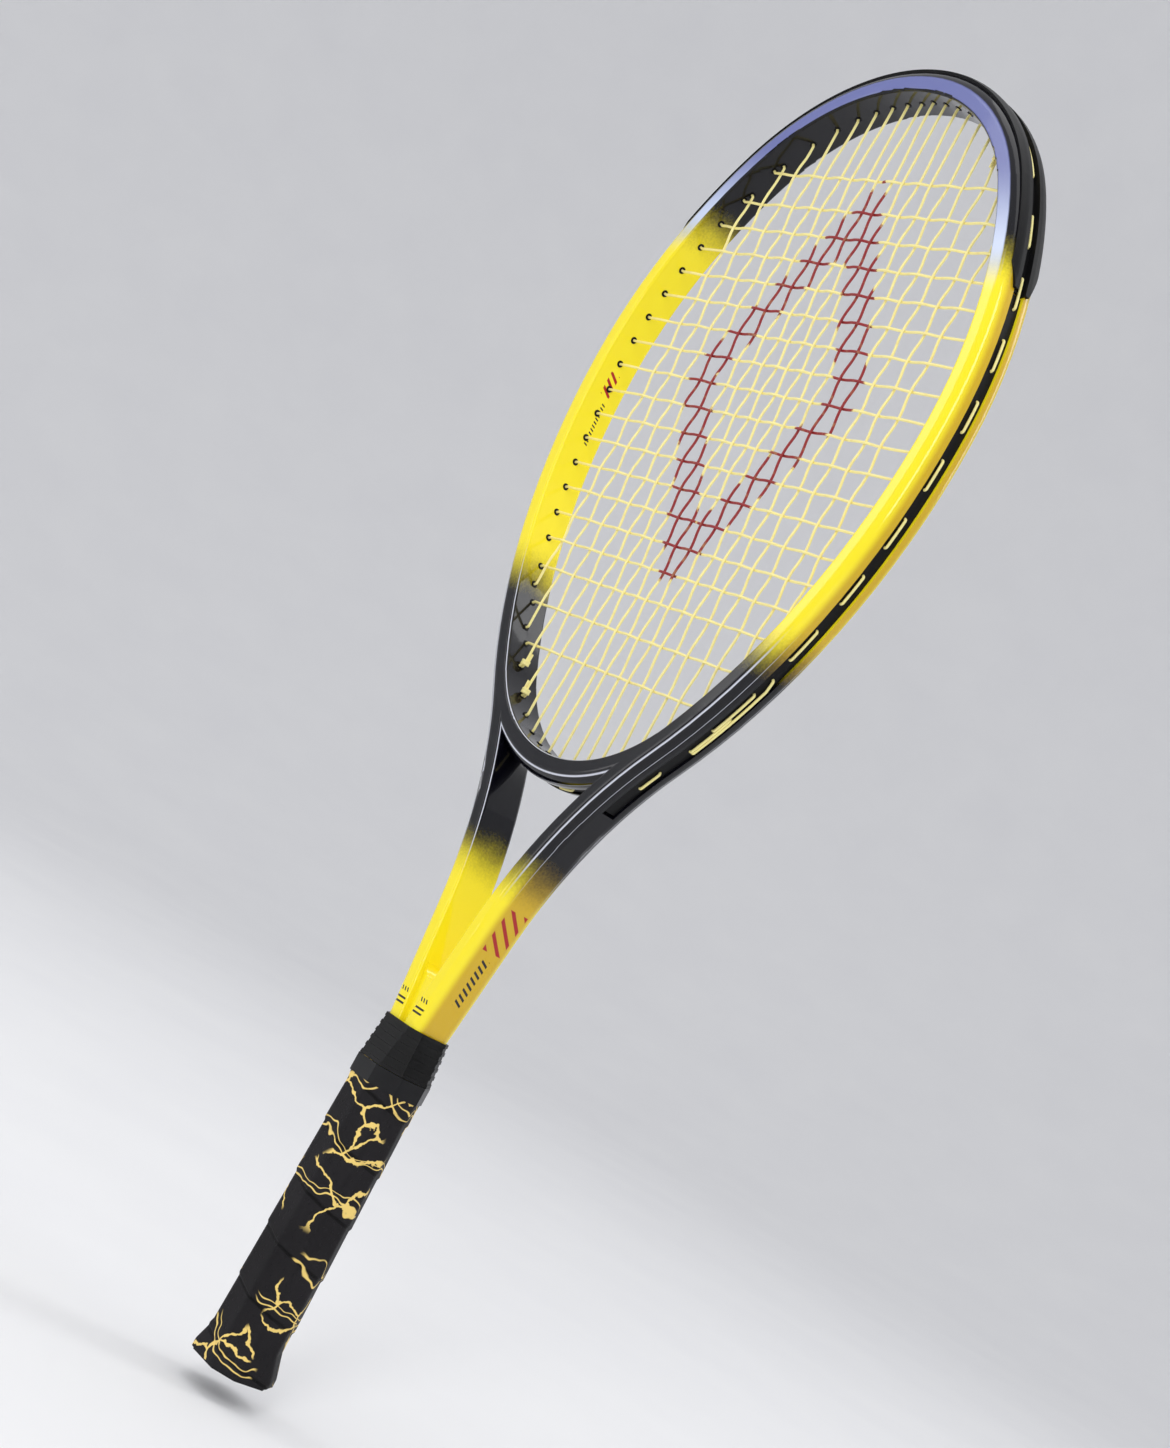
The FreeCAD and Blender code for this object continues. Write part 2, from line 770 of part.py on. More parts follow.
def bumper_guard():
    """Guard and grommets in one moulding over the tip, its wings tapering away down both sides."""
    end = guard_arc_end()
    path = [hoop_arc(tip_centre, tip_radius, 90, shoulder_angle),
            hoop_arc(upper_centre, upper_radius, shoulder_angle, end)]
    solids = sweep(strip_section(), path) + sweep(guard_cheek(1), path) + sweep(guard_cheek(-1), path)
    guard = joined(both_sides(solids))
    return grommeted(guard.cut(guard_tapers()), [place for place in all_ports if in_guard(place)])


def guard_tapers():
    """Wedges that trim the wings to a point where the guard ends, one for each face."""
    wing = half_depth + guard_thickness
    low = guard_end - guard_taper
    reach = head_half_width + 2 * beam_width
    cuts = []
    for sign in (1, -1):
        near = sign * strip_half_width
        far = sign * wing
        corners = [Vector(-reach, near, low), Vector(-reach, near, guard_end),
                   Vector(-reach, far, guard_end + guard_taper), Vector(-reach, far, low)]
        face = Part.Face(Part.makePolygon(corners + corners[:1]))
        cuts.append(face.extrude(Vector(2 * reach, 0, 0)))
    return cuts


def grommet_strip():
    """The right side strip, from below the guard down past the bridge."""
    path = [hoop_arc(upper_centre, upper_radius, guard_arc_end() - strip_end_gap, 0),
            hoop_arc(lower_centre, lower_radius, 0, -leave_angle),
            shoulder(0, shoulder_groove_angle - strip_end_gap)]
    return joined(sweep(strip_section(), path))


def side_places(sign):
    return [place for place in all_ports
            if not in_guard(place) and not in_bridge(place) and place["mouth"].x * sign > 0]


def bridge_grommet_strip():
    half_angle = bridge_groove_half_angle - strip_end_gap / 2
    strip = joined(sweep(strip_section(), bridge_arc(half_angle)))
    return grommeted(strip, [place for place in all_ports if in_bridge(place)])


# handle

def octagon(width, thickness, bevel, z, grown=0.0):
    """The handle's eight-sided outline, grown evenly outwards by the given amount."""
    x, y = width / 2 + grown, thickness / 2 + grown
    flat = bevel + grown * (2 - math.sqrt(2))
    corners = [Vector(x, y - flat, z), Vector(x - flat, y, z),
               Vector(flat - x, y, z), Vector(-x, y - flat, z),
               Vector(-x, flat - y, z), Vector(flat - x, -y, z),
               Vector(x - flat, -y, z), Vector(x, flat - y, z)]
    return Part.makePolygon(corners + corners[:1])


def prism(width, thickness, bevel, low, high, grown=0.0):
    face = Part.Face(octagon(width, thickness, bevel, low, grown))
    return face.extrude(Vector(0, 0, high - low))


def handle_outside(low, high, grown=0.0):
    """The handle's outer shape from low to high, flared over the butt cap."""
    levels = [(low, True)]
    if low < butt_rim_height:
        levels.append((butt_rim_height, True))
    if low < butt_flare_top < high:
        levels.append((butt_flare_top, False))
    levels.append((high, False))
    if low >= butt_flare_top:
        levels = [(low, False), (high, False)]
    outlines = []
    for z, flared in levels:
        width = butt_width if flared else pallet_width
        thickness = butt_thickness if flared else pallet_thickness
        outlines.append(octagon(width, thickness, pallet_bevel, z, grown))
    return Part.makeLoft(outlines, True, True)


def leg_pocket():
    """The channel for both legs of the tube, with its corners as round as theirs."""
    reach = leg_x + beam_width / 2 + pallet_fit
    corner = outer_round + pallet_fit
    section = rounded_box(-reach, reach, half_depth + pallet_fit, corner, corner)
    return section_face(section, Vector(0, 0, 0), Vector(1, 0, 0)).extrude(Vector(0, 0, pallet_top + 1))


def staple(sign):
    """A wire staple through the cap's wall into the pallet behind it, its crown let in flush."""
    outer = sign * pallet_thickness / 2
    inner = outer - sign * staple_wire
    point = outer - sign * staple_leg
    half_span = staple_span / 2
    low = staple_height - staple_wire / 2
    parts = [(-half_span, half_span, inner, outer)]
    parts.append((-half_span, -half_span + staple_wire, point, outer))
    parts.append((half_span - staple_wire, half_span, point, outer))
    boxes = []
    for left, right, one, other in parts:
        corner = Vector(left, min(one, other), low)
        boxes.append(Part.makeBox(right - left, abs(other - one), staple_wire, corner))
    return joined(boxes)


def handle_pallet(sign, staples):
    """Half of the foamed handle, stepped in at the bottom to take the butt cap."""
    whole = prism(pallet_width, pallet_thickness, pallet_bevel, butt_cap_height, pallet_top)
    spigot = prism(pallet_width, pallet_thickness, pallet_bevel, pallet_bottom, butt_cap_height, -spigot_step)
    box = Part.makeBox(2 * butt_width, butt_width, pallet_top, Vector(-butt_width, 0, 0))
    if sign < 0:
        box.translate(Vector(0, -butt_width, 0))
    return whole.fuse(spigot).common(box).cut([leg_pocket()] + staples)


def shaft_end_plugs():
    """Closed-cell plugs that shut the two ends of the tube."""
    corner = outer_round - beam_wall
    low = beam_wall + plug_fit
    high = beam_width - beam_wall - plug_fit
    section = rounded_box(low, high, half_depth - beam_wall - plug_fit, inner_corner, corner)
    base = Vector(leg_x - beam_width / 2, 0, leg_bottom)
    plug = section_face(section, base, Vector(1, 0, 0)).extrude(Vector(0, 0, plug_length))
    return Part.makeCompound(both_sides([plug]))


def butt_cap(staples):
    """The flared cap on the end of the handle, hollow above its floor and open for its door."""
    outside = handle_outside(0, butt_cap_height)
    socket = prism(pallet_width, pallet_thickness, pallet_bevel, butt_floor, butt_cap_height + 1,
                   butt_fit - spigot_step)
    seat_top = door_recess + door_plate + door_fit
    seat = centred_box(door_width, door_thickness, -1, seat_top)
    opening = centred_box(door_width - 2 * door_ledge, door_thickness - 2 * door_ledge, -1, butt_floor + 1)
    return outside.cut([socket, seat, opening] + staples)


def centred_box(width, thickness, low, high):
    return Part.makeBox(width, thickness, high - low, Vector(-width / 2, -thickness / 2, low))


def butt_cap_door():
    """The trap door in the butt: a plate that closes the opening and two legs that guide it."""
    plate_top = door_recess + door_plate
    plate = centred_box(door_width - 2 * door_fit, door_thickness - 2 * door_fit, door_recess, plate_top)
    top = plate_top + door_leg_height
    reach = door_width / 2 - door_ledge - door_fit
    leg = centred_box(door_leg_thickness, door_leg_width, door_recess, top)
    leg.translate(Vector(reach - door_leg_thickness / 2, 0, 0))
    return joined([plate] + both_sides([leg]))


def grip_wrap():
    """The cushioned grip, a sleeve over the pallets and the cap's flare."""
    outer = handle_outside(grip_bottom, grip_top, grip_seat + grip_thickness)
    inner = handle_outside(grip_bottom - 1, grip_top + 1, grip_seat)
    return outer.cut(inner)


def grip_finishing_tape():
    """The band of tape that holds the top edge of the grip down."""
    low, high = grip_top - tape_height, grip_top
    inside = grip_seat * 2 + grip_thickness
    outer = handle_outside(low, high, inside + tape_thickness)
    return outer.cut(handle_outside(low - 1, high + 1, inside))


def grip_collar(envelope):
    """The ribbed rubber collar stretched over the foot of the shafts."""
    def loft(grown):
        bottom = octagon(collar_bottom_width, collar_bottom_thickness, pallet_bevel, collar_bottom, grown)
        top = octagon(collar_top_width, collar_top_thickness, collar_bevel, collar_top, grown)
        return Part.makeLoft([bottom, top], True, True)

    ribbed = loft(0)
    pitch = (collar_top - collar_bottom - collar_rib_height) / collar_ribs
    slabs = []
    for index in range(collar_ribs + 1):
        low = collar_bottom + pitch * index
        slabs.append(centred_box(2 * butt_width, 2 * butt_width, low, low + collar_rib_height))
    body = loft(-collar_rib_depth).fuse(ribbed.common(Part.makeCompound(slabs)))
    core = centred_box(2 * leg_x, beam_depth, collar_bottom - 1, collar_top + 1)
    return body.cut([envelope, core])


# every piece, written out under its own name

def export(name, shape):
    shape.exportStep("parts/" + name + ".step")
    print(name, len(shape.Solids), "solids", round(shape.Volume), "mm3", shape.isValid())


def build():
    os.makedirs("parts", exist_ok=True)
    envelope = hairpin_envelope()
    holes = string_holes()
    staples = [staple(1), staple(-1)]
    export("hairpin_tube", hairpin_tube(envelope, holes))
    export("throat_bridge", throat_bridge(envelope, holes))
    export("throat_wedge", throat_wedge(envelope))
    export("bumper_guard", bumper_guard())
    export("grommet_strip_right", grommeted(grommet_strip(), side_places(1)))
    export("grommet_strip_left", grommeted(mirrored(grommet_strip()), side_places(-1)))
    export("bridge_grommet_strip", bridge_grommet_strip())
    export("handle_pallet_front", handle_pallet(-1, staples))
    export("handle_pallet_back", handle_pallet(1, staples))
    export("shaft_end_plugs", shaft_end_plugs())
    export("butt_cap", butt_cap(staples))
    export("butt_cap_door", butt_cap_door())
    export("butt_cap_staples", Part.makeCompound(staples))
    export("grip_wrap", grip_wrap())
    export("grip_finishing_tape", grip_finishing_tape())
    export("grip_collar", grip_collar(envelope))
    export("main_string", main_string())
    export("cross_string", cross_string())


build()
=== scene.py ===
import math
import bpy
from mathutils import Matrix, Vector


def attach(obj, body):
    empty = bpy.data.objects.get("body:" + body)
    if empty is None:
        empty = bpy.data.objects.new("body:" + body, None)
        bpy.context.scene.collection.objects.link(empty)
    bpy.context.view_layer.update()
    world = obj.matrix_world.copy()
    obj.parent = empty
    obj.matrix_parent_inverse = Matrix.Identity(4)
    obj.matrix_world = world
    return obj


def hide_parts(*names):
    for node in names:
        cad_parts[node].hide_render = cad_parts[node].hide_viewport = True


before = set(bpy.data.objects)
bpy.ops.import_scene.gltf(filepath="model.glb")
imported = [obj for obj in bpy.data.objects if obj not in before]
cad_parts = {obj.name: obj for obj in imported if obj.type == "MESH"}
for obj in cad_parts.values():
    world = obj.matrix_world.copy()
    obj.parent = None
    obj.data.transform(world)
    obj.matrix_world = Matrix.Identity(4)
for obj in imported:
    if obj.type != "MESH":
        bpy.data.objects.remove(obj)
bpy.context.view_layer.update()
print("frame loaded:", len(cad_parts), "nodes")


class Wire:
    # a shader socket that can be used in ordinary sums

    def __init__(self, finish, socket):
        self.finish = finish
        self.socket = socket

    def __add__(self, other):
        return self.finish.maths("ADD", self, other)

    def __radd__(self, other):
        return self.finish.maths("ADD", other, self)

    def __sub__(self, other):
        return self.finish.maths("SUBTRACT", self, other)

    def __rsub__(self, other):
        return self.finish.maths("SUBTRACT", other, self)

    def __mul__(self, other):
        return self.finish.maths("MULTIPLY", self, other)

    def __truediv__(self, other):
        return self.finish.maths("DIVIDE", self, other)

    def __abs__(self):
        return self.finish.maths("ABSOLUTE", self)


class Finish:
    # one material: its nodes, and the shader they feed

    def __init__(self, name, **constants):
        self.material = bpy.data.materials.new(name)
        self.material.use_nodes = True
        self.tree = self.material.node_tree
        self.tree.nodes.clear()
        self.shader = self.tree.nodes.new("ShaderNodeBsdfPrincipled")
        output = self.tree.nodes.new("ShaderNodeOutputMaterial")
        self.tree.links.new(self.shader.outputs[0], output.inputs[0])
        self.show(**constants)
        self.place = self.node("ShaderNodeTexCoord", output="Object")

    def feed(self, node, inputs):
        pairs = enumerate(inputs) if isinstance(inputs, (list, tuple)) else inputs.items()
        for key, value in pairs:
            if isinstance(value, Wire):
                self.tree.links.new(value.socket, node.inputs[key])
            else:
                node.inputs[key].default_value = value

    def node(self, kind, settings=None, inputs=(), output=0):
        made = self.tree.nodes.new(kind)
        for name, value in (settings or {}).items():
            setattr(made, name, value)
        self.feed(made, inputs)
        return Wire(self, made.outputs[output])

    def maths(self, operation, *values):
        return self.node("ShaderNodeMath", {"operation": operation}, values)

    def show(self, **inputs):
        named = {key.replace("_", " "): value for key, value in inputs.items()}
        self.feed(self.shader, named)

    def axes(self, wire=None):
        split = self.tree.nodes.new("ShaderNodeSeparateXYZ")
        self.feed(split, [wire or self.place])
        return [Wire(self, socket) for socket in split.outputs]

    def noise(self, scale, detail=3.0, roughness=0.5, vector=None):
        wires = {"Vector": vector or self.place, "Scale": scale, "Detail": detail, "Roughness": roughness}
        return self.node("ShaderNodeTexNoise", {}, wires)

    def swing(self, noise, reach):
        # a noise that swings about zero
        return (self.noise(*noise) - 0.5) * reach

    def stretched(self, scale):
        return self.node("ShaderNodeMapping", {}, {"Vector": self.place, "Scale": scale})

    def ease(self, value, low, high):
        # 0 below low, 1 above high, soft between
        wires = {"Value": value, "From Min": low, "From Max": high, "To Min": 0.0, "To Max": 1.0}
        return self.node("ShaderNodeMapRange", {"interpolation_type": "SMOOTHSTEP"}, wires)

    def between(self, value, low, high, soft):
        return self.ease(value, low - soft, low + soft) - self.ease(value, high - soft, high + soft)

    def line(self, value, middle, half, soft):
        return 1 - self.ease(abs(value - middle), half - soft, half + soft)

    def blend(self, amount, first, second):
        made = self.tree.nodes.new("ShaderNodeMix")
        made.data_type = "RGBA"
        made.clamp_factor = True
        colours = [(*c, 1) if isinstance(c, tuple) else c for c in (first, second)]
        # a colour mix has its factor at socket 0 and its two colours at 6 and 7
        self.feed(made, {0: amount, 6: colours[0], 7: colours[1]})
        return Wire(self, made.outputs[2])

    def bump(self, height, depth, strength):
        return self.node("ShaderNodeBump", {}, {"Height": height, "Strength": strength, "Distance": depth})


def paint(finish, *nodes):
    for name in nodes:
        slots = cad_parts[name].data.materials
        slots.clear()
        slots.append(finish.material)


# In the dictionaries below lengths are metres, a Fade is where something starts and ends, a Noise
# is its scale, its detail and sometimes its roughness, a Line is its middle, half width and softness.

# lacquered tube, bridge and throat
lacquer = {
    "yellow": (0.96, 0.80, 0.014),
    "amberPaintedShade": (0.56, 0.30, 0.012),
    "flake": (1.0, 0.90, 0.30),
    "black": (0.0025, 0.0025, 0.005),
    "paintedSheen": (0.15, 0.17, 0.40),
    "paintedSheenWhite": (0.62, 0.70, 0.88),
    "highlightSilver": (0.62, 0.64, 0.72),
    "red": (0.40, 0.010, 0.010),
    "markBlack": (0.012, 0.010, 0.008),
    "shaftFade": (0.246, 0.276),
    "lowerFade": (0.384, 0.414),
    "upperFade": (0.578, 0.606),
    "fineMistNoise": (900, 2), "fineMist": 0.008,
    "broadMistNoise": (55, 2), "broadMist": 0.010,
    "middle": 0.50,
    "sideFade": (0.15, 0.75),
    "outwardsFade": (0.0, 0.012),
    "paintedShadeShare": 0.75,
    "flakeNoise": (2600, 1), "flakeFade": (0.62, 0.75), "flakeShare": 0.06,
    "tipFade": (0.574, 0.600),
    "bandFade": (0.01074, 0.01094),
    "sheenReflectionFade": (0.590, 0.640),
    "faceHighlightLine": (0.01052, 0.00016, 0.00010),
    "rimHighlightLine": (0.0072, 0.00014, 0.00008), "rimHighlightShare": 0.6,
    "peelNoise": (420, 2), "peelDepth": 0.00004, "peelStrength": 0.30,
    "scuffNoise": (38, 6, 0.72), "scuffFade": (0.60, 0.78),
    "rough": 0.12, "scuffRough": 0.14, "peelRough": 0.05,
    "coat": 0.60, "scuffCoat": 0.25, "darkCoat": 0.25, "coatRough": 0.04,
    "specular": 0.18,
}

# rows of plain slanted bars inside the hoop, on the shafts' sides and over the collar
bars = {
    "soft": 0.0002, "shareSoft": 0.03,
    "wallFade": (0.05, 0.06),
    "flankFade": (0.010, 0.016),
    "sides": (
        {"on": "wall", "ink": "red", "offset": 0.0, "start": 0.4975, "stop": 0.5100,
         "pitch": 0.0042, "lean": 0.6, "half": 0.0030, "share": 0.45},
        {"on": "wall", "ink": "markBlack", "offset": 0.002, "start": 0.4700, "stop": 0.4940,
         "pitch": 0.0020, "lean": 0.3, "half": 0.0011, "share": 0.40},
        {"on": "flank", "ink": "red", "offset": 0.0, "start": 0.2250, "stop": 0.2470,
         "pitch": 0.0074, "lean": 0.9, "half": 0.0058, "share": 0.34},
        {"on": "flank", "ink": "markBlack", "offset": 0.0, "start": 0.1960, "stop": 0.2210,
         "pitch": 0.0031, "lean": 0.5, "half": 0.0022, "share": 0.42},
    ),
    "foot": {"offset": 0.1915, "start": -0.1, "stop": 0.1,
             "pitch": 0.0022, "lean": 0.4, "half": 0.0010, "share": 0.45},
    "footLines": ((0.1850, 0.0005, 0.0001), (0.1873, 0.0005, 0.0001)),
    "footFade": (0.90, 0.97),
    "footSpan": (0.0085, 0.0040, 0.0002),
}


def ticks(finish, along, across, row):
    across = across - row["offset"]
    beat = finish.maths("FRACT", (along - row["start"] + across * row["lean"]) / row["pitch"])
    inked = finish.line(beat, 0.5, row["share"] / 2, bars["shareSoft"])
    inked = inked * finish.between(along, row["start"], row["stop"], bars["soft"])
    return inked * finish.line(across, 0.0, row["half"], bars["soft"])


def lacquerFinish(name, marked=True):
    finish = Finish(name, Specular_IOR_Level=lacquer["specular"], Coat_Roughness=lacquer["coatRough"])
    x, y, z = finish.axes()
    turned = finish.axes(finish.node("ShaderNodeNewGeometry", output="Normal"))
    facing = abs(turned[1])
    level = z + (finish.swing(lacquer["fineMistNoise"], lacquer["fineMist"])
                 + finish.swing(lacquer["broadMistNoise"], lacquer["broadMist"]))
    dark = finish.ease(level, *lacquer["shaftFade"]) - finish.ease(level, *lacquer["lowerFade"])
    dark = dark + finish.ease(level, *lacquer["upperFade"])
    side = 1 - finish.ease(facing, *lacquer["sideFade"])
    away = turned[0] * x + turned[2] * (z - lacquer["middle"])
    outwards = finish.ease(away, *lacquer["outwardsFade"])
    # painted shade: side faces turned outwards are blended towards a deeper amber, standing in for their
    # shading
    shadedYellow = finish.blend(side * outwards * lacquer["paintedShadeShare"], lacquer["yellow"], lacquer["amberPaintedShade"])
    flakes = finish.ease(finish.noise(*lacquer["flakeNoise"]), *lacquer["flakeFade"])
    shadedYellow = finish.blend(flakes * lacquer["flakeShare"], shadedYellow, lacquer["flake"])
    colour = finish.blend(dark, shadedYellow, lacquer["black"])
    # painted reflection: a bluish sheen band on the faces over the tip, with a paler painted highlight
    # where it ends, and fine silver painted highlight lines lower down
    tip = finish.ease(z, *lacquer["tipFade"])
    band = finish.ease(abs(y), *lacquer["bandFade"]) * tip
    sheenReflection = finish.blend(finish.ease(z, *lacquer["sheenReflectionFade"]), lacquer["paintedSheenWhite"], lacquer["paintedSheen"])
    colour = finish.blend(band, colour, sheenReflection)
    # painted highlights: thin silver lines along the front face edges and along the outer rim, only over
    # the black
    rimHighlightLine = finish.line(abs(y), *lacquer["rimHighlightLine"]) * lacquer["rimHighlightShare"] * outwards
    lines = finish.line(abs(y), *lacquer["faceHighlightLine"]) + rimHighlightLine
    colour = finish.blend(lines * dark * (1 - tip), colour, lacquer["highlightSilver"])
    if marked:
        inside = finish.ease(x * -1, *bars["wallFade"]) * (1 - outwards) * side
        outside = outwards * side * finish.ease(abs(x), *bars["flankFade"])
        places = {"wall": inside, "flank": outside}
        for row in bars["sides"]:
            inked = ticks(finish, z, y, row) * places[row["on"]]
            colour = finish.blend(inked, colour, lacquer[row["ink"]])
        foot = ticks(finish, x, z, bars["foot"])
        for ring in bars["footLines"]:
            foot = foot + finish.line(z, *ring)
        foot = foot * finish.ease(facing, *bars["footFade"]) * finish.line(abs(x), *bars["footSpan"])
        colour = finish.blend(foot, colour, lacquer["markBlack"])
    peel = finish.noise(*lacquer["peelNoise"])
    scuffs = finish.ease(finish.noise(*lacquer["scuffNoise"]), *lacquer["scuffFade"])
    finish.show(Base_Color=colour,
                Roughness=lacquer["rough"] + scuffs * lacquer["scuffRough"] + peel * lacquer["peelRough"],
                Coat_Weight=lacquer["coat"] - scuffs * lacquer["scuffCoat"] - dark * lacquer["darkCoat"],
                Normal=finish.bump(peel, lacquer["peelDepth"], lacquer["peelStrength"]))
    return finish


paint(lacquerFinish("tubeLacquer"), "hairpin_tube")
paint(lacquerFinish("bridgeLacquer", marked=False), "throat_bridge", "throat_wedge")
print("lacquer done")


# moulded nylon guard and grommets, the guard scraped at the tip
nylon = {
    "black": (0.0045, 0.0045, 0.005),
    "grey": (0.010, 0.010, 0.011),
    "worn": (0.075, 0.075, 0.075),
    "grainNoise": (1500, 3),
    "cloudNoise": (60, 4), "cloudShare": 0.5,
    "scratchNoise": (240, 5, 0.75), "scratchStretch": (1.0, 9.0, 1.0), "scratchFade": (0.60, 0.70),
    "tipFade": (0.640, 0.684),
    "rough": 0.34, "grainRough": 0.14, "scratchRough": 0.3,
    "scratchDepth": 2.0, "depth": 0.00006, "strength": 0.5,
    "specular": 0.14,
    "guardWear": 0.8, "grommetWear": 0.0,
}


def nylonFinish(name, wear):
    finish = Finish(name, Specular_IOR_Level=nylon["specular"])
    height = finish.axes()[2]
    grain = finish.noise(*nylon["grainNoise"])
    cloud = finish.noise(*nylon["cloudNoise"])
    scratch = finish.noise(*nylon["scratchNoise"], finish.stretched(nylon["scratchStretch"]))
    scratch = finish.ease(scratch, *nylon["scratchFade"]) * finish.ease(height, *nylon["tipFade"]) * wear
    colour = finish.blend(cloud * nylon["cloudShare"], nylon["black"], nylon["grey"])
    colour = finish.blend(scratch, colour, nylon["worn"])
    relief = grain - scratch * nylon["scratchDepth"]
    finish.show(Base_Color=colour,
                Roughness=nylon["rough"] + grain * nylon["grainRough"] + scratch * nylon["scratchRough"],
                Normal=finish.bump(relief, nylon["depth"], nylon["strength"]))
    return finish


paint(nylonFinish("guardNylon", nylon["guardWear"]), "bumper_guard")
paint(nylonFinish("grommetNylon", nylon["grommetWear"]),
      "grommet_strip_left", "grommet_strip_right", "bridge_grommet_strip")
print("guard and grommets done")


# strings, with a plain lozenge inked on the bed
strings = {
    "cream": (0.94, 0.83, 0.32),
    "shade": (0.78, 0.60, 0.24),
    "ink": (0.26, 0.006, 0.010),
    "middle": 0.520, "halfWide": 0.066, "halfTall": 0.112, "band": 0.34, "bandSoft": 0.012,
    "raggedNoise": (700, 3), "ragged": 0.05,
    "thinNoise": (300, 4), "thinFade": (0.30, 0.46),
    "inkShare": 0.86, "thinShare": 0.14,
    "fuzzNoise": (240, 3), "fuzzFade": (0.45, 0.8), "fuzzShare": 0.4,
    "coatNoise": (1800, 2),
    "rough": 0.26, "coatRough": 0.12, "inkRough": 0.15,
    "depth": 0.00003, "strength": 0.4,
    "subsurface": 0.05,
}


def stringFinish(name):
    finish = Finish(name, Subsurface_Weight=strings["subsurface"])
    x, z = finish.axes()[::2]
    wide = abs(x) / strings["halfWide"]
    tall = abs(z - strings["middle"]) / strings["halfTall"]
    ring = wide + tall + finish.swing(strings["raggedNoise"], strings["ragged"])
    ink = finish.between(ring, 1 - strings["band"], 1.0, strings["bandSoft"])
    thin = finish.ease(finish.noise(*strings["thinNoise"]), *strings["thinFade"])
    fuzz = finish.ease(finish.noise(*strings["fuzzNoise"]), *strings["fuzzFade"])
    colour = finish.blend(fuzz * strings["fuzzShare"], strings["cream"], strings["shade"])
    inked = ink * (strings["inkShare"] + thin * strings["thinShare"])
    colour = finish.blend(inked, colour, strings["ink"])
    coat = finish.noise(*strings["coatNoise"])
    finish.show(Base_Color=colour,
                Roughness=strings["rough"] + coat * strings["coatRough"] + ink * strings["inkRough"],
                Normal=finish.bump(coat, strings["depth"], strings["strength"]))
    return finish


paint(stringFinish("stringGut"), "main_string", "cross_string")
print("strings done")


# grip: a spiral wrap printed with broken jagged lines
grip = {
    "black": (0.006, 0.0055, 0.006),
    "dusk": (0.026, 0.024, 0.027),
    "gold": (0.90, 0.66, 0.20),
    "seamBlack": (0.002, 0.002, 0.002),
    "pitch": 0.027, "turnPhase": 0.1,
    "seamAt": 0.5, "seamHalf": 0.030, "seamSoft": 0.015, "seamShare": 0.8,
    "wobbleNoise": (48, 2, 0.4), "wobble": 1.3,
    "wideLine": (0.56, 0.017, 0.007),
    "thinLine": (0.69, 0.013, 0.007),
    "keepNoise": (22, 1), "keepFade": (0.40, 0.44),
    "warpScale": 70.0, "warpDetail": 4.0, "warp": 0.016,
    "cellScale": 44.0, "cellFade": (0.020, 0.030),
    "boltNoise": (24, 1), "boltFade": (0.49, 0.52),
    "duskNoise": (22, 3), "duskShare": 0.8,
    "weaveNoise": (1300, 3),
    "holeScale": 420.0, "holeFade": (0.14, 0.26),
    "weaveHeight": 0.35, "goldHeight": 0.5, "seamHeight": 0.8, "pitHeight": 0.8,
    "rough": 0.48, "weaveRough": 0.2, "goldRough": 0.12,
    "depth": 0.00035, "strength": 0.7,
    "specular": 0.12,
}


def gripFinish(name):
    finish = Finish(name, Specular_IOR_Level=grip["specular"])
    x, y, z = finish.axes()
    angle = finish.maths("ARCTAN2", x, y * -1) / (2 * math.pi)
    lap = finish.maths("FRACT", z / grip["pitch"] + angle + grip["turnPhase"])
    seam = finish.line(lap, grip["seamAt"], grip["seamHalf"], grip["seamSoft"])
    drift = lap + finish.swing(grip["wobbleNoise"], grip["wobble"])
    lines = finish.line(drift, *grip["wideLine"]) + finish.line(drift, *grip["thinLine"])
    keep = finish.ease(finish.noise(*grip["keepNoise"]), *grip["keepFade"])
    spread = {"Vector": finish.place, "Scale": grip["warpScale"], "Detail": grip["warpDetail"]}
    warp = finish.node("ShaderNodeTexNoise", {}, spread, output=1)
    warp = finish.node("ShaderNodeVectorMath", {"operation": "SCALE"}, {0: warp, "Scale": grip["warp"]})
    bent = finish.node("ShaderNodeVectorMath", {"operation": "ADD"}, [finish.place, warp])
    cells = finish.node("ShaderNodeTexVoronoi", {"feature": "DISTANCE_TO_EDGE"},
                        {"Vector": bent, "Scale": grip["cellScale"]})
    bolts = finish.ease(finish.noise(*grip["boltNoise"]), *grip["boltFade"])
    bolts = (1 - finish.ease(cells, *grip["cellFade"])) * bolts
    gold = finish.maths("MAXIMUM", lines * keep, bolts)
    dusk = finish.noise(*grip["duskNoise"]) * grip["duskShare"]
    colour = finish.blend(dusk, grip["black"], grip["dusk"])
    colour = finish.blend(seam * grip["seamShare"], colour, grip["seamBlack"])
    colour = finish.blend(gold, colour, grip["gold"])
    weave = finish.noise(*grip["weaveNoise"])
    holes = finish.node("ShaderNodeTexVoronoi", {"feature": "F1"},
                        {"Vector": finish.place, "Scale": grip["holeScale"]})
    pits = 1 - finish.ease(holes, *grip["holeFade"])
    height = weave * grip["weaveHeight"] + gold * grip["goldHeight"]
    height = height - seam * grip["seamHeight"] - pits * grip["pitHeight"]
    finish.show(Base_Color=colour,
                Roughness=grip["rough"] + weave * grip["weaveRough"] - gold * grip["goldRough"],
                Normal=finish.bump(height, grip["depth"], grip["strength"]))
    return finish


gripMade = gripFinish("gripWrap")
paint(gripMade, "grip_wrap")

# the wound strip: each turn laps over the one below it
wrap = {
    "low": 0.0012, "rim": 0.005, "flareTop": 0.017, "high": 0.156,
    "half": (0.0161, 0.0147), "buttHalf": (0.0185, 0.0170),
    "bevel": 0.0086, "over": 0.00185,
    "lap": 0.00065, "wall": 0.00115, "crease": 0.05,
    "settle": 0.143, "settleLength": 0.004,
    "roundness": 36, "around": 128, "along": 340,
    "weld": 0.000001, "smooth": 38,
}


def clamp(value):
    return min(max(value, 0.0), 1.0)


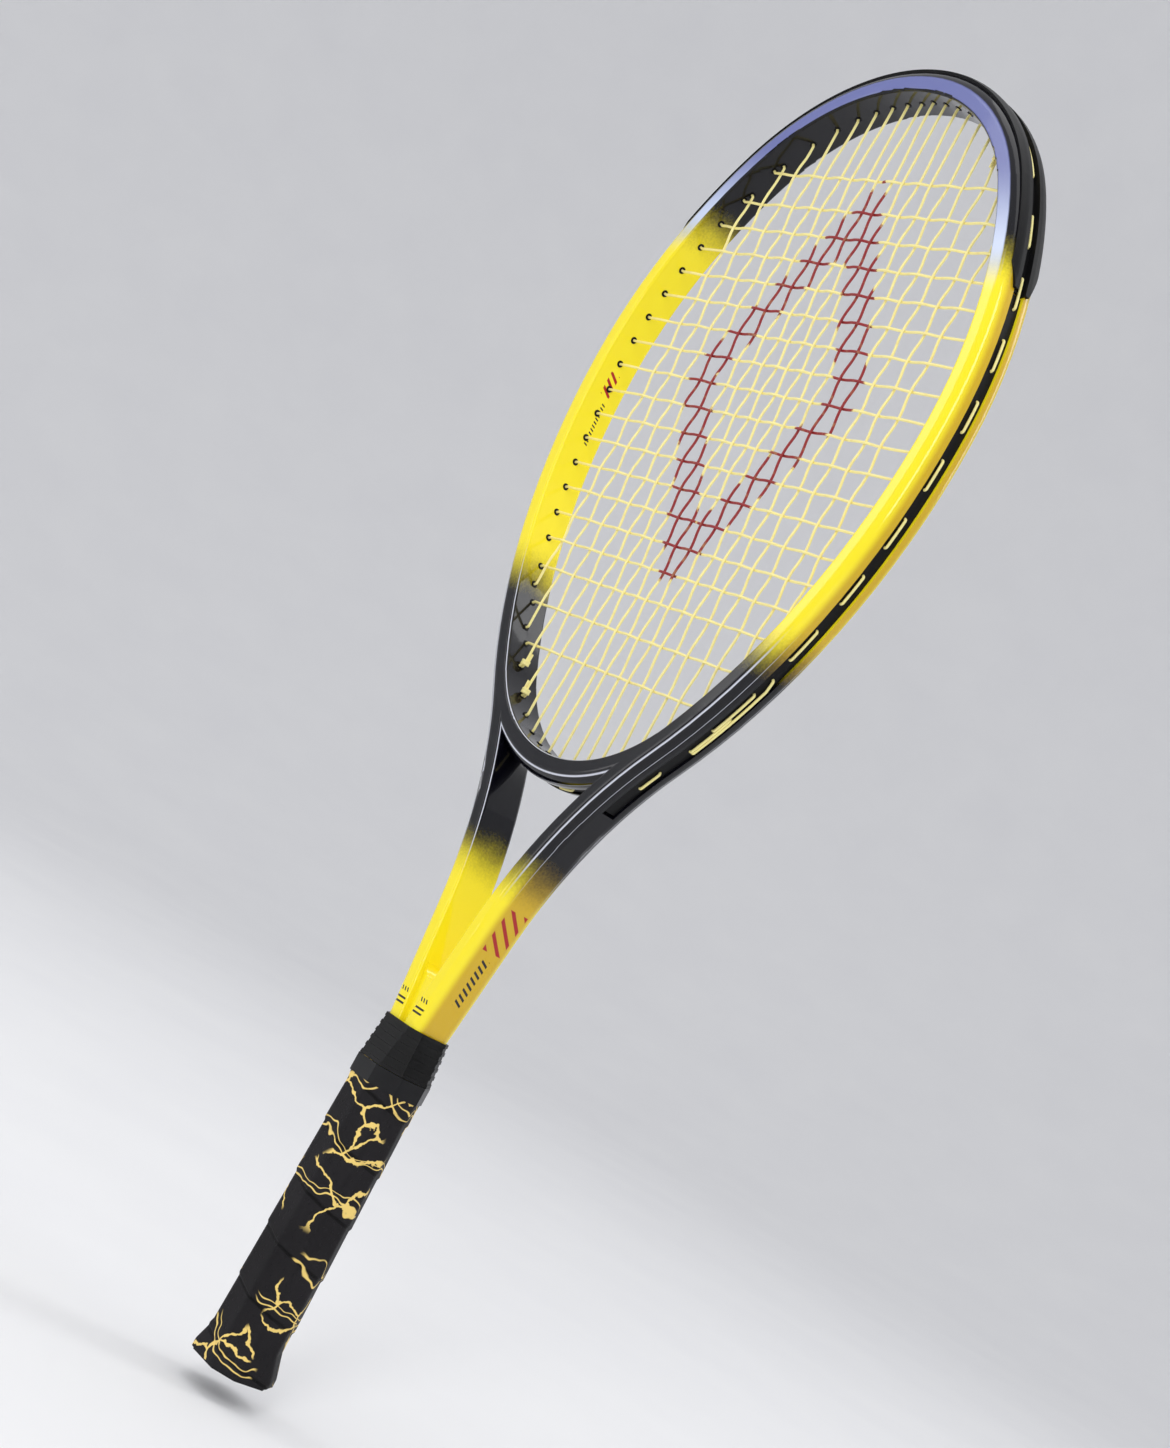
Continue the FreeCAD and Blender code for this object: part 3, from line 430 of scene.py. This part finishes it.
def wrapReach(angle, z):
    # how far out the wrap lies at this angle and height
    flare = clamp((wrap["flareTop"] - z) / (wrap["flareTop"] - wrap["rim"]))
    wide, deep = (a + (b - a) * flare + wrap["over"] for a, b in zip(wrap["half"], wrap["buttHalf"]))
    cut = wide + deep - wrap["bevel"] - wrap["over"] * (2 - math.sqrt(2))
    c, s = abs(math.cos(angle)), abs(math.sin(angle))
    sides = (c / wide, s / deep, (c + s) / cut)
    reach = sum(side ** wrap["roundness"] for side in sides) ** (-1 / wrap["roundness"])
    around = math.atan2(math.cos(angle), -math.sin(angle)) / (2 * math.pi)
    turn = (z / grip["pitch"] + around + grip["turnPhase"] - grip["seamAt"]) % 1.0
    lift = min(turn / wrap["crease"], 1.0) * (1 - turn)
    fade = clamp((z - wrap["settle"]) / wrap["settleLength"])
    return reach - wrap["lap"] * (1 - lift) * (1 - fade)


def buildWrap():
    bpy.ops.object.select_all(action="DESELECT")
    bpy.ops.mesh.primitive_grid_add(x_subdivisions=wrap["around"], y_subdivisions=wrap["along"], size=2)
    piece = bpy.context.object
    piece.name = "gripStrip"
    # the flat grid, from -1 to 1 both ways, is rolled up and its two edges are welded
    for vertex in piece.data.vertices:
        angle = math.pi * (vertex.co.x + 1)
        z = wrap["low"] + (wrap["high"] - wrap["low"]) * (vertex.co.y + 1) / 2
        reach = wrapReach(angle, z)
        vertex.co = (reach * math.cos(angle), reach * math.sin(angle), z)
    bpy.ops.object.mode_set(mode="EDIT")
    bpy.ops.mesh.select_all(action="SELECT")
    bpy.ops.mesh.remove_doubles(threshold=wrap["weld"])
    bpy.ops.object.mode_set(mode="OBJECT")
    wall = piece.modifiers.new("wall", "SOLIDIFY")
    wall.thickness = wrap["wall"]
    wall.offset = -1
    bpy.ops.object.modifier_apply(modifier="wall")
    bpy.ops.object.shade_smooth_by_angle(angle=math.radians(wrap["smooth"]))
    piece.data.materials.append(gripMade.material)
    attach(piece, "racket")
    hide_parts("grip_wrap")


buildWrap()
print("grip wound")


# tape, collar, cap, door and what the handle holds inside
plastic = {
    "cloudNoise": (45, 4), "cloudFade": (0.35, 0.75),
    "grainDetail": 3, "grainRough": 0.16, "strength": 0.6,
    "specular": 0.16,
}
plastics = {
    "tapeFilm": {
        "base": (0.009, 0.009, 0.010), "spot": (0.018, 0.018, 0.019),
        "rough": 0.32, "grain": 700, "depth": 0.00005,
        "nodes": ("grip_finishing_tape",)},
    "collarRubber": {
        "base": (0.005, 0.005, 0.005), "spot": (0.012, 0.012, 0.012),
        "rough": 0.42, "grain": 900, "depth": 0.00008,
        "nodes": ("grip_collar",)},
    "capPlastic": {
        "base": (0.008, 0.008, 0.009), "spot": (0.018, 0.018, 0.020),
        "rough": 0.44, "grain": 1600, "depth": 0.00010,
        "nodes": ("butt_cap", "butt_cap_door")},
    "palletFoam": {
        "base": (0.030, 0.028, 0.026), "spot": (0.075, 0.070, 0.064),
        "rough": 0.72, "grain": 650, "depth": 0.00030,
        "nodes": ("handle_pallet_front", "handle_pallet_back")},
    "plugFoam": {
        "base": (0.30, 0.29, 0.27), "spot": (0.42, 0.41, 0.38),
        "rough": 0.80, "grain": 520, "depth": 0.00040,
        "nodes": ("shaft_end_plugs",)},
}


def plasticFinish(name, look):
    finish = Finish(name, Specular_IOR_Level=plastic["specular"])
    grain = finish.noise(look["grain"], plastic["grainDetail"])
    cloud = finish.ease(finish.noise(*plastic["cloudNoise"]), *plastic["cloudFade"])
    finish.show(Base_Color=finish.blend(cloud, look["base"], look["spot"]),
                Roughness=look["rough"] + (grain - 0.5) * plastic["grainRough"],
                Normal=finish.bump(grain, look["depth"], plastic["strength"]))
    return finish


for name, look in plastics.items():
    paint(plasticFinish(name, look), *look["nodes"])

# drawn steel wire
staple = {
    "dull": (0.50, 0.50, 0.52),
    "bright": (0.68, 0.68, 0.70),
    "lineNoise": (900, 3, 0.5), "lineStretch": (1.0, 12.0, 12.0),
    "rough": 0.25, "lineRough": 0.2,
    "depth": 0.00003, "strength": 0.5,
}


def stapleFinish():
    finish = Finish("stapleSteel", Metallic=1.0)
    lines = finish.noise(*staple["lineNoise"], finish.stretched(staple["lineStretch"]))
    finish.show(Base_Color=finish.blend(lines, staple["dull"], staple["bright"]),
                Roughness=staple["rough"] + lines * staple["lineRough"],
                Normal=finish.bump(lines, staple["depth"], staple["strength"]))
    return finish


paint(stapleFinish(), "butt_cap_staples")
print("handle done")


# studio: a pale floor that curves up into its backdrop, lights and camera
studio = {
    "floor": -0.013, "segments": 96,
    "flatRadius": 2.6, "curveRadius": 2.4, "curveSteps": 14, "wallHeight": 1.5,
    "pale": (0.80, 0.80, 0.81), "paler": (0.85, 0.85, 0.85),
    "fleckNoise": (7, 3), "rough": 0.8, "specular": 0.15,
    "world": (0.95, 0.96, 1.0), "worldStrength": 0.78,
}
lights = {
    "key": {"place": (1.25, -1.45, 1.20), "aim": (0.0, 0.0, 0.42), "size": (0.45, 1.7), "watts": 15},
    "fill": {"place": (-1.3, -1.4, 0.9), "aim": (0.0, 0.0, 0.40), "size": (0.5, 1.6), "watts": 5},
    "rim": {"place": (0.6, 1.5, 1.4), "aim": (0.0, 0.0, 0.45), "size": (0.5, 1.5), "watts": 7},
    "top": {"place": (0.0, -0.2, 2.3), "aim": (0.0, 0.0, 0.3), "size": (1.6, 1.6), "watts": 10},
}
view = {
    "place": (0.8847, -0.6466, 0.2585), "turn": 53.96, "lift": 1.779, "roll": 28.877,
    "lens": 58.71, "shift": (0.0359, 0.0589), "nearest": 0.01,
}


def buildFloor():
    bpy.ops.object.select_all(action="DESELECT")
    bpy.ops.mesh.primitive_circle_add(vertices=studio["segments"], radius=studio["flatRadius"],
                                      fill_type="NGON", location=(0, 0, studio["floor"]))
    floor = bpy.context.object
    floor.name = "studioFloor"
    bpy.ops.object.mode_set(mode="EDIT")
    bpy.ops.mesh.select_all(action="DESELECT")
    bpy.ops.mesh.select_non_manifold()
    radius = studio["flatRadius"]
    height = 0.0
    for step in range(1, studio["curveSteps"] + 1):
        turn = math.pi / 2 * step / studio["curveSteps"]
        reach = studio["flatRadius"] + studio["curveRadius"] * math.sin(turn)
        rise = studio["curveRadius"] * (1 - math.cos(turn))
        bpy.ops.mesh.extrude_edges_move(TRANSFORM_OT_translate={"value": (0, 0, rise - height)})
        bpy.ops.transform.resize(value=(reach / radius, reach / radius, 1), center_override=(0, 0, 0))
        radius, height = reach, rise
    bpy.ops.mesh.extrude_edges_move(TRANSFORM_OT_translate={"value": (0, 0, studio["wallHeight"])})
    bpy.ops.mesh.select_all(action="SELECT")
    bpy.ops.mesh.normals_make_consistent(inside=True)
    bpy.ops.object.mode_set(mode="OBJECT")
    bpy.ops.object.shade_smooth()
    bpy.ops.object.transform_apply(location=True, rotation=True, scale=True)
    finish = Finish("paleFloor", Roughness=studio["rough"], Specular_IOR_Level=studio["specular"])
    fleck = finish.noise(*studio["fleckNoise"])
    finish.show(Base_Color=finish.blend(fleck, studio["pale"], studio["paler"]))
    floor.data.materials.append(finish.material)


def buildLights():
    world = bpy.data.worlds.new("studioWorld")
    world.use_nodes = True
    sky = world.node_tree.nodes["Background"]
    sky.inputs["Color"].default_value = (*studio["world"], 1)
    sky.inputs["Strength"].default_value = studio["worldStrength"]
    bpy.context.scene.world = world
    for name, lamp in lights.items():
        data = bpy.data.lights.new(name, "AREA")
        data.shape = "RECTANGLE"
        data.size, data.size_y = lamp["size"]
        data.energy = lamp["watts"]
        made = bpy.data.objects.new(name, data)
        made.location = lamp["place"]
        away = Vector(lamp["place"]) - Vector(lamp["aim"])
        made.rotation_euler = away.to_track_quat("Z", "Y").to_euler()
        bpy.context.collection.objects.link(made)


def buildCamera():
    data = bpy.data.cameras.new("view")
    data.lens = view["lens"]
    data.shift_x, data.shift_y = view["shift"]
    data.clip_start = view["nearest"]
    camera = bpy.data.objects.new("view", data)
    turn = Matrix.Rotation(math.radians(view["turn"]), 4, "Z")
    lift = Matrix.Rotation(math.radians(90 + view["lift"]), 4, "X")
    roll = Matrix.Rotation(math.radians(view["roll"]), 4, "Z")
    camera.matrix_world = Matrix.Translation(view["place"]) @ turn @ lift @ roll
    bpy.context.collection.objects.link(camera)
    bpy.context.scene.camera = camera
    bpy.context.scene.view_settings.view_transform = "Standard"


buildFloor()
buildLights()
buildCamera()
print("studio done")
